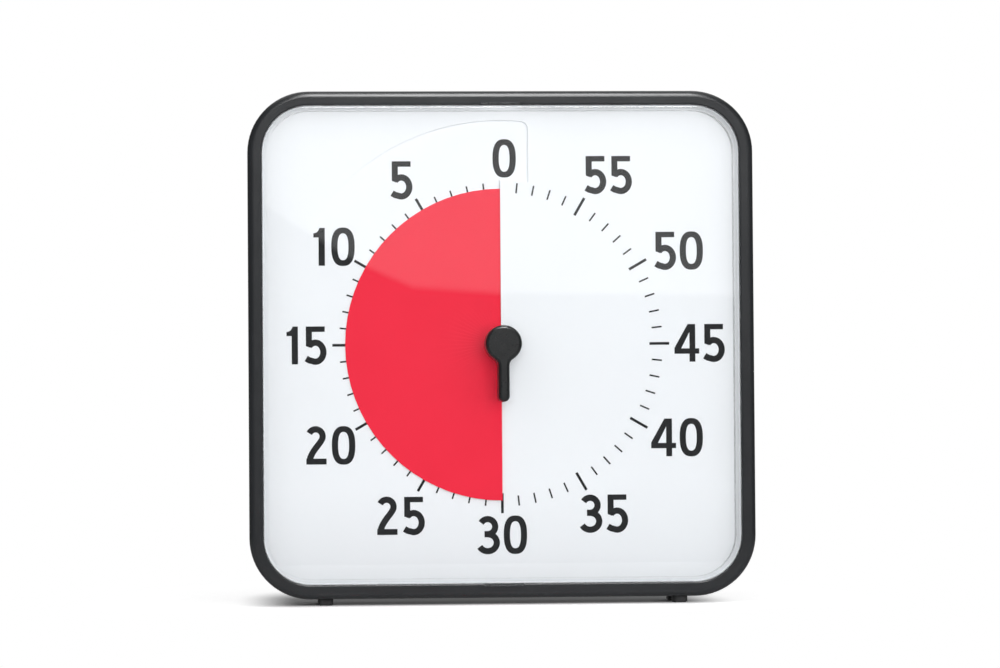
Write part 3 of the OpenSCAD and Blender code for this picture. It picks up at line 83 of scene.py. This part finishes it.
class Look(Tree):
    """A procedural material under construction: one Principled shader and helpers to drive it."""

    def __init__(self, name, color, rough, metallic=0.0, **sockets):
        self.mat = bpy.data.materials.new(name)
        self.mat.use_nodes = True
        super().__init__(self.mat.node_tree)
        self.out = self.node("ShaderNodeOutputMaterial")
        self.bsdf = self.node("ShaderNodeBsdfPrincipled")
        self.show(self.bsdf.outputs[0])
        self.color = tuple(color)
        self.rough = rough
        self.bsdf.inputs["Base Color"].default_value = (*color, 1)
        self.bsdf.inputs["Roughness"].default_value = rough
        self.bsdf.inputs["Metallic"].default_value = metallic
        for key, value in sockets.items():
            self.bsdf.inputs[key.replace("_", " ")].default_value = value
        self.place = self.node("ShaderNodeTexCoord").outputs["Object"]

    def show(self, shader):
        self.feed(shader, self.out.inputs["Surface"])

    def axis(self, which):
        """One of the object coordinates, in metres."""
        return self.part_of(self.place, which)

    def facing(self, which):
        """How much the surface faces along an axis, from 0 to 1 whichever way."""
        normal = self.node("ShaderNodeNewGeometry").outputs["Normal"]
        return self.math("ABSOLUTE", self.part_of(normal, which))

    def noise(self, size_mm, detail, rough):
        made = self.node("ShaderNodeTexNoise")
        made.inputs["Scale"].default_value = 1 / (size_mm * MM)
        made.inputs["Detail"].default_value = detail
        made.inputs["Roughness"].default_value = rough
        self.feed(self.place, made.inputs["Vector"])
        return made.outputs["Fac"]

    def streaks(self, per_m, detail, rough):
        """Noise with its own number of grains in a metre on each axis: long streaks where that is low."""
        stretch = self.node("ShaderNodeMapping")
        stretch.inputs["Scale"].default_value = per_m
        self.feed(self.place, stretch.inputs["Vector"])
        made = self.node("ShaderNodeTexNoise")
        made.inputs["Scale"].default_value = 1
        made.inputs["Detail"].default_value = detail
        made.inputs["Roughness"].default_value = rough
        self.feed(stretch.outputs[0], made.inputs["Vector"])
        return made.outputs["Fac"]

    def spots(self, size_mm):
        made = self.node("ShaderNodeTexVoronoi", feature="F1")
        made.inputs["Scale"].default_value = 1 / (size_mm * MM)
        self.feed(self.place, made.inputs["Vector"])
        return made.outputs["Distance"]

    def waves(self, pitch_mm, axis, distortion):
        made = self.node("ShaderNodeTexWave", wave_type="BANDS", bands_direction=axis)
        made.inputs["Scale"].default_value = BAND_PITCH / (pitch_mm * MM)
        made.inputs["Distortion"].default_value = distortion
        self.feed(self.place, made.inputs["Vector"])
        return made.outputs["Fac"]

    def mix(self, fac, first, second):
        """The first colour where fac is 0, the second where it is 1."""
        made = self.node("ShaderNodeMix", data_type="RGBA")
        self.feed(fac, made.inputs[0])
        for i, color in ((MIX_FIRST, first), (MIX_SECOND, second)):
            if isinstance(color, tuple):
                made.inputs[i].default_value = (*color, 1)
            else:
                self.feed(color, made.inputs[i])
        return made.outputs[MIX_RESULT]

    def paint(self, color_socket):
        self.feed(color_socket, self.bsdf.inputs["Base Color"])

    def vary(self, fac, dark, light, low=NOISE_LOW, high=NOISE_HIGH):
        """Base colour times dark where fac is low and times light where it is high."""
        darker = tuple(value * dark for value in self.color)
        lighter = tuple(min(1, value * light) for value in self.color)
        self.paint(self.mix(self.fit(fac, low, high, 0, 1), darker, lighter))

    def uneven(self, fac, spread):
        """Roughness that runs spread either way of its plain value with a noise."""
        smoothest = max(0.02, self.rough - spread)
        roughest = min(1, self.rough + spread)
        self.feed(self.fit(fac, NOISE_LOW, NOISE_HIGH, smoothest, roughest), self.bsdf.inputs["Roughness"])

    def emboss(self, height, depth_mm, strength=1.0):
        made = self.node("ShaderNodeBump")
        made.inputs["Strength"].default_value = strength
        made.inputs["Distance"].default_value = depth_mm * MM
        self.feed(height, made.inputs["Height"])
        self.feed(made.outputs[0], self.bsdf.inputs["Normal"])


# ---------------------------------------------------------------- materials


def moulded(name, color, rough, grain_mm=0.3, depth_mm=0.012):
    """Spark-textured moulded plastic: fine pebble grain, faint flow variation and uneven gloss."""
    k = Look(name, color, rough)
    k.vary(k.noise(26, 2, 0.5), 0.96, 1.04)
    k.uneven(k.noise(5, 4, 0.6), 0.05)
    k.emboss(k.noise(grain_mm, 3, 0.6), depth_mm)
    return k


def smooth_plastic(name, color, rough):
    """Polished moulded plastic with a slight orange peel and a fine unevenness in its gloss."""
    k = Look(name, color, rough)
    k.vary(k.noise(18, 2, 0.5), 0.97, 1.03)
    k.uneven(k.noise(1.2, 4, 0.65), 0.04)
    k.emboss(k.noise(3.5, 1, 0.4), 0.01, 0.6)
    return k


def metal(name, color, rough, grains_per_m, spread=0.1, tone=0.08):
    """Worked metal: streaks or an even grain, as grains_per_m says, and dulled patches."""
    k = Look(name, color, rough, metallic=1.0)
    streak = k.streaks(grains_per_m, 4, 0.7)
    k.vary(streak, 1 - tone, 1 + tone)
    k.uneven(k.noise(1.5, 4, 0.6), spread)
    k.emboss(streak, 0.006)
    return k


def rubbery(name, color):
    """Dull rubber with small pits."""
    k = Look(name, color, 0.72)
    k.vary(k.noise(2.5, 4, 0.6), 0.8, 1.25)
    k.uneven(k.noise(1.0, 3, 0.6), 0.08)
    k.emboss(k.spots(0.35), 0.02)
    return k


def housing_look(name, color):
    """Dark satin case plastic: the finest grain, a slow drift in tone and gloss."""
    k = Look(name, color, 0.24)
    k.vary(k.noise(30, 2, 0.5), 0.96, 1.04)
    k.uneven(k.noise(9, 2, 0.5), 0.02)
    k.emboss(k.noise(0.2, 2, 0.6), 0.002)
    return k


def dial_look():
    """White dial sheet: satin, with a faint pearl texture and a cool tint."""
    k = Look("dial_white", (0.905, 0.93, 0.955), 0.36)
    k.vary(k.noise(40, 2, 0.5), 0.994, 1.006)
    k.uneven(k.noise(2, 3, 0.6), 0.04)
    k.emboss(k.noise(0.5, 3, 0.6), 0.003)
    return k


def ink_look():
    """Pad-printed ink: nearly black, a little uneven where the film is thinner."""
    k = Look("dial_ink", (0.011, 0.0115, 0.0125), 0.5, Specular_IOR_Level=0.15)
    k.vary(k.noise(0.8, 4, 0.7), 0.8, 1.35)
    k.uneven(k.noise(0.4, 3, 0.6), 0.06)
    k.emboss(k.noise(0.15, 2, 0.6), 0.004)
    return k


def disk_look():
    """Red sheet with a paler cut edge and the slightest grain from rolling."""
    cut_edge = (0.9, 0.62, 0.64)
    k = Look("disk_red", (0.9, 0.021, 0.054), 0.5, Specular_IOR_Level=0.12)
    flow = k.noise(22, 3, 0.5)
    red = k.mix(k.fit(flow, 0.3, 0.7, 0, 1), (0.89, 0.02, 0.052), (0.91, 0.022, 0.056))
    face = k.fit(k.facing("Y"), 0.35, 0.7, 0, 1)
    k.paint(k.mix(face, cut_edge, red))
    k.uneven(k.noise(1.6, 4, 0.6), 0.03)
    k.emboss(k.streaks((2200, 2200, 160), 2, 0.5), 0.002)
    return k


def knob_look():
    """Satin black knob under a thin coat, with faint handling marks."""
    k = Look("knob_black", (0.012, 0.013, 0.0138), 0.3, Coat_Weight=0.05, Coat_Roughness=0.22)
    k.vary(k.noise(9, 2, 0.5), 0.94, 1.06)
    k.uneven(k.noise(0.7, 3, 0.6), 0.03)
    k.emboss(k.noise(0.18, 3, 0.6), 0.0015)
    return k


def lens_look():
    """Clear acrylic: refracts and reflects, and lets the light of lamps and room straight through."""
    k = Look("lens_clear", (0.985, 0.992, 0.995), 0.0, Transmission_Weight=1.0, IOR=1.49)
    k.feed(k.fit(k.noise(9, 4, 0.6), 0.4, 0.75, 0.0, 0.02), k.bsdf.inputs["Roughness"])
    clear = k.node("ShaderNodeBsdfTransparent")
    clear.inputs["Color"].default_value = (0.96, 0.965, 0.97, 1)
    path = k.node("ShaderNodeLightPath").outputs
    passing = k.math("MAXIMUM", path["Is Shadow Ray"], path["Is Diffuse Ray"])
    k.show(k.choose(passing, k.bsdf.outputs[0], clear.outputs[0]))
    return k


def coil_look():
    """Enamelled wire, wound in turns along the coil."""
    wire_mm = 0.35
    k = Look("coil_copper", (0.62, 0.2, 0.07), 0.3, metallic=0.85, Coat_Weight=0.4, Coat_Roughness=0.1)
    turns = k.waves(wire_mm, "Z", 0.4)
    k.vary(turns, 0.55, 1.1, 0.2, 0.8)
    k.uneven(k.noise(2, 3, 0.6), 0.06)
    k.emboss(turns, 0.08)
    return k


def board_look():
    """Solder-resist laminate with copper tracks under it."""
    k = Look("board_green", (0.03, 0.22, 0.09), 0.3, Coat_Weight=0.3, Coat_Roughness=0.12)
    across = k.waves(3.1, "X", 5.0)
    down = k.waves(4.3, "Z", 6.0)
    track = k.fit(k.math("MAXIMUM", across, down), 0.86, 0.92, 0, 1)
    k.paint(k.mix(track, (0.018, 0.13, 0.055), (0.05, 0.3, 0.12)))
    k.uneven(k.noise(1.5, 3, 0.6), 0.06)
    k.emboss(track, 0.03)
    return k


def battery_look():
    """Plain cell: dark sleeve, a paler band at the nub end, bare steel ends."""
    sleeve = (0.02, 0.023, 0.03)
    band_end_mm = -13.5  # along the cell, from the middle of the timer
    band_blur_mm = 0.4
    k = Look("cell_sleeve", sleeve, 0.28, Coat_Weight=0.5, Coat_Roughness=0.08)
    band = k.fit(k.axis("X"), band_end_mm * MM, (band_end_mm + band_blur_mm) * MM, 1, 0)
    ends = k.math("GREATER_THAN", k.facing("X"), 0.6)
    k.paint(k.mix(ends, k.mix(band, sleeve, (0.55, 0.56, 0.58)), (0.62, 0.62, 0.63)))
    k.feed(k.fit(ends, 0, 1, 0.0, 1.0), k.bsdf.inputs["Metallic"])
    k.uneven(k.noise(1.2, 3, 0.6), 0.06)
    k.emboss(k.noise(0.3, 2, 0.5), 0.004)
    return k


def chip_look():
    """Black moulded epoxy, speckled and dull."""
    k = Look("chip_epoxy", (0.018, 0.018, 0.02), 0.55)
    k.vary(k.noise(0.5, 4, 0.7), 0.75, 1.4)
    k.uneven(k.noise(0.8, 3, 0.6), 0.07)
    k.emboss(k.noise(0.12, 3, 0.7), 0.012)
    return k


def lead_look(name, color):
    """Soft PVC sleeve of a lead."""
    k = Look(name, color, 0.38)
    k.vary(k.noise(1.5, 3, 0.55), 0.88, 1.1)
    k.uneven(k.noise(0.7, 3, 0.6), 0.06)
    k.emboss(k.noise(0.5, 2, 0.5), 0.01)
    return k


HOUSING = housing_look("case_dark", (0.0208, 0.0224, 0.0248))
REAR = housing_look("cover_dark", (0.0202, 0.0216, 0.0238))
RUBBER = rubbery("rubber_black", (0.022, 0.022, 0.023))
WHITE_PART = moulded("hub_white", (0.82, 0.82, 0.79), 0.45)
MOVEMENT = moulded("movement_grey", (0.075, 0.085, 0.1), 0.5)
GEAR = moulded("gear_acetal", (0.8, 0.76, 0.66), 0.42, grain_mm=0.5, depth_mm=0.006)
STEEL = metal("screw_steel", (0.5, 0.5, 0.51), 0.32, (600, 600, 600))
SHAFT = metal("spindle_steel", (0.62, 0.62, 0.64), 0.22, (1800, 60, 1800))
SHEET = metal("stator_steel", (0.5, 0.51, 0.53), 0.38, (60, 1500, 1500))
BRIGHT = metal("bright_nickel", (0.72, 0.71, 0.69), 0.18, (900, 900, 900), spread=0.06, tone=0.05)
BRASS = metal("turned_brass", (0.72, 0.5, 0.2), 0.26, (1800, 60, 1800))
BRONZE = metal("leaf_bronze", (0.76, 0.46, 0.17), 0.24, (60, 1500, 1500))
LOOKS = {
    "front_housing": HOUSING,
    "rear_cover": REAR,
    "battery_door": REAR,
    "clear_lens": lens_look(),
    "dial_plate": dial_look(),
    "dial_markings": ink_look(),
    "red_disk": disk_look(),
    "disk_hub": WHITE_PART,
    "pointer_knob": knob_look(),
    "spindle": SHAFT,
    "threaded_bush": BRASS,
    "bush_nut": BRASS,
    "rubber_washer": RUBBER,
    "chassis_plate": moulded("chassis_grey", (0.62, 0.62, 0.6), 0.5),
    "case_screws": STEEL,
    "board_screws": STEEL,
    "front_feet": RUBBER,
    "rear_feet": RUBBER,
    "movement_front_case": MOVEMENT,
    "movement_rear_case": MOVEMENT,
    "center_wheel": GEAR,
    "intermediate_wheel": GEAR,
    "rotor_pinion": GEAR,
    "alarm_cam": GEAR,
    "clutch_spring": BRIGHT,
    "rotor_magnet": metal("magnet_ferrite", (0.09, 0.09, 0.1), 0.45, (700, 700, 700)),
    "stator": SHEET,
    "coil_bobbin": smooth_plastic("bobbin_green", (0.03, 0.22, 0.12), 0.35),
    "coil_winding": coil_look(),
    "circuit_board": board_look(),
    "alarm_board": board_look(),
    "quartz_crystal": BRIGHT,
    "control_chip": chip_look(),
    "alarm_chip": chip_look(),
    "contact_leaf": BRONZE,
    "battery": battery_look(),
    "battery_spring": BRIGHT,
    "battery_contacts": BRIGHT,
    "buzzer_case": moulded("buzzer_black", (0.02, 0.02, 0.022), 0.48),
    "buzzer_disc": BRASS,
    "volume_dial": moulded("volume_black", (0.03, 0.031, 0.033), 0.4),
    "volume_pot": smooth_plastic("pot_blue", (0.05, 0.14, 0.33), 0.35),
    "red_battery_lead": lead_look("lead_red", (0.52, 0.02, 0.02)),
    "black_battery_lead": lead_look("lead_black", (0.018, 0.018, 0.018)),
    "buzzer_leads": lead_look("lead_yellow", (0.62, 0.42, 0.03)),
    "movement_leads": lead_look("lead_grey", (0.2, 0.21, 0.22)),
}
for name, look in LOOKS.items():
    mesh = NODES[name].data
    mesh.materials.clear()
    mesh.materials.append(look.mat)


# ---------------------------------------------------------------- floor

scene = bpy.context.scene
scene.view_settings.view_transform = "Standard"

FLOOR_HALF = 0.5
PAINTED_FLOOR_GLOW = 0.73  # painted light: the glow the floor adds past the edge of a spot under the object, which paints where the shadow ends
PAINTED_SHADE_X, PAINTED_SHADE_HALF, PAINTED_SHADE_BACK = -0.0055, 0.07, 0.05  # the spot under the object left without that glow: the real shadow shows there, and its soft edge is painted shade
WHITE_FROM, WHITE_BY = 0.95, 1.6  # where the floor turns plain white, in spreads from the object
ROOM_FROM, ROOM_BY = 2.0, 4.5  # where the mirrored floor turns into the room, in spreads too
ROOM_DIM = 0.06  # the brightness of the room's dark side


def stage_mesh(name, verts, faces, material):
    """A mesh of the set, which is no piece of the timer."""
    made = bpy.data.meshes.new(name)
    made.from_pydata(verts, [], faces)
    made.materials.append(material)
    obj = bpy.data.objects.new(name, made)
    scene.collection.objects.link(obj)
    return obj


def floor_material():
    """White sweep: it keeps the real shadow near the object inside a painted shade edge, then fades to
    white, or in mirrors to the room.
    """
    k = Look("floor_white", (0.88, 0.88, 0.885), 0.6, Specular_IOR_Level=0.0)
    across = k.math("ABSOLUTE", k.math("SUBTRACT", k.axis("X"), PAINTED_SHADE_X))
    y = k.axis("Y")
    path = k.node("ShaderNodeLightPath").outputs

    def past(distance, edge, spread):
        """How many spreads a distance lies past an edge, and 0 inside it."""
        return k.math("DIVIDE", k.math("MAXIMUM", k.math("SUBTRACT", distance, edge), 0), spread)

    def reach(side, ahead, behind, half=0.0, back=0.0):
        """Distance out from a spot under the object: 0 inside it, 1 where the given spreads end."""
        u = past(across, half, side)
        forward = past(k.math("MULTIPLY", y, -1), 0.0, ahead)
        v = k.math("ADD", forward, past(y, back, behind))
        return k.math("SQRT", k.math("ADD", k.math("MULTIPLY", u, u), k.math("MULTIPLY", v, v)))

    # Painted shade: the floor's glow is left out under the object and rises over the given spreads, so the
    # shadow's extent there is painted.
    painted_shade_reach = reach(side=0.026, ahead=0.04, behind=0.1, half=PAINTED_SHADE_HALF, back=PAINTED_SHADE_BACK)
    near = k.fit(painted_shade_reach, 0, 1, 0, 1, smooth=True)
    lit = k.node("ShaderNodeAddShader")
    k.feed(k.bsdf.outputs[0], lit.inputs[0])
    k.feed(k.emission(k.math("MULTIPLY", near, PAINTED_FLOOR_GLOW)), lit.inputs[1])
    far = k.fit(reach(side=0.1, ahead=0.065, behind=0.2), WHITE_FROM, WHITE_BY, 0, 1, smooth=True)
    seen = k.choose(far, lit.outputs[0], k.emission(1.0))
    gone = k.fit(reach(side=0.1, ahead=0.1, behind=0.1), ROOM_FROM, ROOM_BY, 0, 1, smooth=True)
    mirrored = k.choose(gone, k.bsdf.outputs[0], k.emission(ROOM_DIM))
    other = k.choose(path["Is Glossy Ray"], k.bsdf.outputs[0], mirrored)
    looked_at = k.math("MAXIMUM", path["Is Camera Ray"], path["Is Transmission Ray"])
    k.show(k.choose(looked_at, other, seen))
    return k.mat


floor_corners = [(x * FLOOR_HALF, y * FLOOR_HALF, 0) for x, y in ((-1, -1), (1, -1), (1, 1), (-1, 1))]
stage_mesh("floor", floor_corners, [(0, 1, 2, 3)], floor_material())


# ---------------------------------------------------------------- room

SIDES_FROM, SIDES_BY = 0.3, 0.75  # how far a direction points sideways where the room's sides set in

world = bpy.data.worlds.new("studio")
scene.world = world
world.use_nodes = True
sky = Tree(world.node_tree)
sky_out = sky.node("ShaderNodeOutputWorld")
sky_path = sky.node("ShaderNodeLightPath").outputs
sky_way = sky.node("ShaderNodeTexCoord").outputs["Generated"]


def backdrop(strength):
    made = sky.node("ShaderNodeBackground")
    made.inputs["Color"].default_value = (1, 1, 1, 1)
    sky.feed(strength, made.inputs["Strength"])
    return made.outputs[0]


def room(front, back, sides=1.0, start=-0.75, end=0.15):
    """Light of strength front from the camera's side and back from behind, times sides to the sides."""
    along = sky.fit(sky.part_of(sky_way, "Y"), start, end, front, back, smooth=True)
    aside = sky.math("ABSOLUTE", sky.part_of(sky_way, "X"))
    share = sky.fit(aside, SIDES_FROM, SIDES_BY, 1.0, sides, smooth=True)
    return backdrop(sky.math("MULTIPLY", along, share))


matt_room = room(front=0.65, back=ROOM_DIM)
mirrored_room = room(front=ROOM_DIM, back=1.0, sides=0.06)
window_room = room(front=ROOM_DIM, back=0.9, start=-0.97, end=-0.8)
unseen = sky.choose(sky_path["Is Glossy Ray"], matt_room, mirrored_room)
unseen = sky.choose(sky_path["Is Transmission Ray"], unseen, window_room)
sky.feed(sky.choose(sky_path["Is Camera Ray"], unseen, backdrop(1.0)), sky_out.inputs["Surface"])


# ---------------------------------------------------------------- lamps and softbox

AIM = (0, 0, 0.1)


def lamp(name, at, size, power, target=AIM, color=(1, 1, 1), mirrored=True, matt=True):
    """Area lamp that glossy surfaces mirror, matt ones take light from, or both."""
    data = bpy.data.lights.new(name, "AREA")
    data.shape = "RECTANGLE"
    data.size, data.size_y = size
    data.energy = power
    data.color = color
    obj = bpy.data.objects.new(name, data)
    scene.collection.objects.link(obj)
    obj.location = at
    obj.rotation_mode = "QUATERNION"
    obj.rotation_quaternion = (Vector(target) - Vector(at)).to_track_quat("-Z", "Y")
    obj.visible_glossy = mirrored
    obj.visible_transmission = mirrored and matt
    obj.visible_diffuse = matt
    obj.visible_camera = False


lamp("front", at=(0.12, -2.0, 0.26), size=(1.1, 0.8), power=34.5, color=(1.0, 0.99, 0.98), mirrored=False)
lamp("over", at=(0.056, -0.87, 0.87), size=(0.35, 0.89), power=16, target=(0, 0, 0.19), matt=False)
lamp("side", at=(1.0, -1.6, 0.3), size=(0.5, 1.2), power=2)
lamp("back", at=(0.3, 1.0, 0.07), size=(0.9, 0.1), power=10, mirrored=False)

# The softbox over the camera, which the window's upper half mirrors. Its lower edge, given as x and z,
# rises to the left and fades out over twice CARD_SOFT.
CARD_EDGE = [(-0.35, 0.3304), (-0.12, 0.2624), (-0.06, 0.2224), (-0.0086, 0.1924), (0.027, 0.1764)]
CARD_EDGE += [(0.092, 0.1714), (0.3, 0.1684), (0.5, 0.1664)]
CARD_SOFT = 0.004
CARD_TOP = 0.345
CARD_Y = -1.5
CARD_LIGHT = 0.75


def softbox_material():
    """Plain light that fades in over the card's level attribute."""
    made = bpy.data.materials.new("softbox_glow")
    made.use_nodes = True
    k = Tree(made.node_tree)
    level = k.node("ShaderNodeAttribute", attribute_name="level").outputs["Fac"]
    shine = k.emission(k.fit(level, 0, 1, 0, CARD_LIGHT, smooth=True))
    k.feed(shine, k.node("ShaderNodeOutputMaterial").inputs["Surface"])
    return made


across = len(CARD_EDGE)
corners = [(x, CARD_Y, z - CARD_SOFT) for x, z in CARD_EDGE]
corners += [(x, CARD_Y, z + CARD_SOFT) for x, z in CARD_EDGE]
corners += [(x, CARD_Y, CARD_TOP) for x, z in CARD_EDGE]
starts = [row * across + i for row in (0, 1) for i in range(across - 1)]
quads = [(n, n + 1, n + 1 + across, n + across) for n in starts]
card = stage_mesh("softbox", corners, quads, softbox_material())
card.visible_camera = False
fade_in = card.data.attributes.new("level", "FLOAT", "POINT")
for i, item in enumerate(fade_in.data):
    item.value = 0.0 if i < across else 1.0


# ---------------------------------------------------------------- camera

CAMERA_AT = (-0.0940, -1.5011, 0.0613)
CAMERA_PAN, CAMERA_TILT, CAMERA_ROLL = -3.581, 1.529, 0.415  # degrees
UPRIGHT = 90  # a camera looks straight down until it is turned up by this
SENSOR_MM = 36
FOCAL_MM = 143.36

cam_data = bpy.data.cameras.new("camera")
cam_data.sensor_width = SENSOR_MM
cam_data.lens = FOCAL_MM
cam_data.clip_end = 50
cam = bpy.data.objects.new("camera", cam_data)
scene.collection.objects.link(cam)
turn = Matrix.Identity(4)
for degrees, axis in ((CAMERA_PAN, "Z"), (CAMERA_TILT, "X"), (CAMERA_ROLL, "Y"), (UPRIGHT, "X")):
    turn = turn @ Matrix.Rotation(math.radians(degrees), 4, axis)
cam.matrix_world = Matrix.Translation(CAMERA_AT) @ turn
scene.camera = cam
